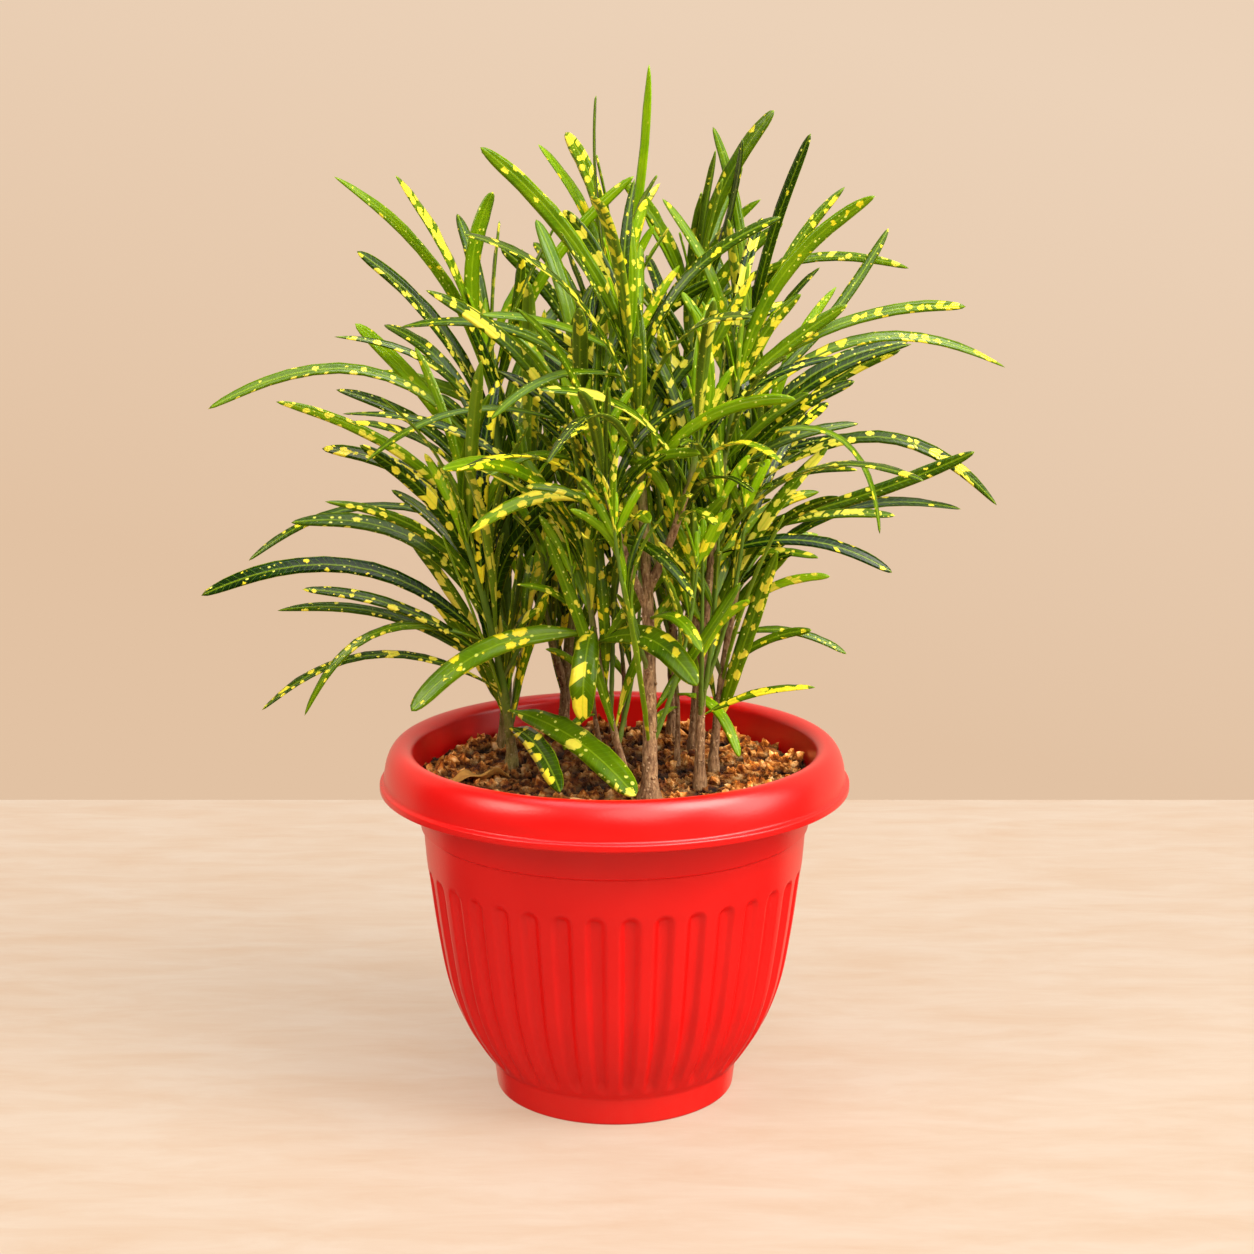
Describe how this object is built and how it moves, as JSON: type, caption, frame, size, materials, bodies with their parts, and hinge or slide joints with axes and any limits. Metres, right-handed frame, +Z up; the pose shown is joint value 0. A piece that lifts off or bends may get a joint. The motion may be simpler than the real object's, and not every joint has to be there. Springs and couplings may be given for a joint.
{
  "type": "potted croton",
  "caption": "Narrow-leaf gold-dust croton: woody stems with long green, yellow-spotted leaves, in soil in a red fluted plastic pot.",
  "frame": {"origin": "middle of the pot's flat underside, on the surface it stands on", "axes": "+Z up along the pot's axis, -Y to the front from which the picture was taken, +X to its right"},
  "size_m": [0.344, 0.3186, 0.451],
  "materials": {
    "pot": "satin moulded polypropylene",
    "soil": "dry crumbly earth and coir",
    "bark": "rough grey-brown bark, green where young",
    "leaf": "glossy green leaf with yellow spots",
    "dry_leaf": "matt dead leaf"
  },
  "bodies": {
    "root": {"pot": "pot", "soil": "soil", "dry_leaf": "dry_leaf", "stem_left": "leaf", "stem_left_front": "leaf", "stem_back_left": "leaf", "stem_middle": "leaf", "stem_slim": "leaf", "stem_back": "leaf", "stem_right": "leaf", "stem_far_right": "leaf", "stem_back_right": "leaf", "shoot_right": "leaf", "shoot_middle": "leaf", "shoot_back": "leaf"}
  },
  "joints": []
}
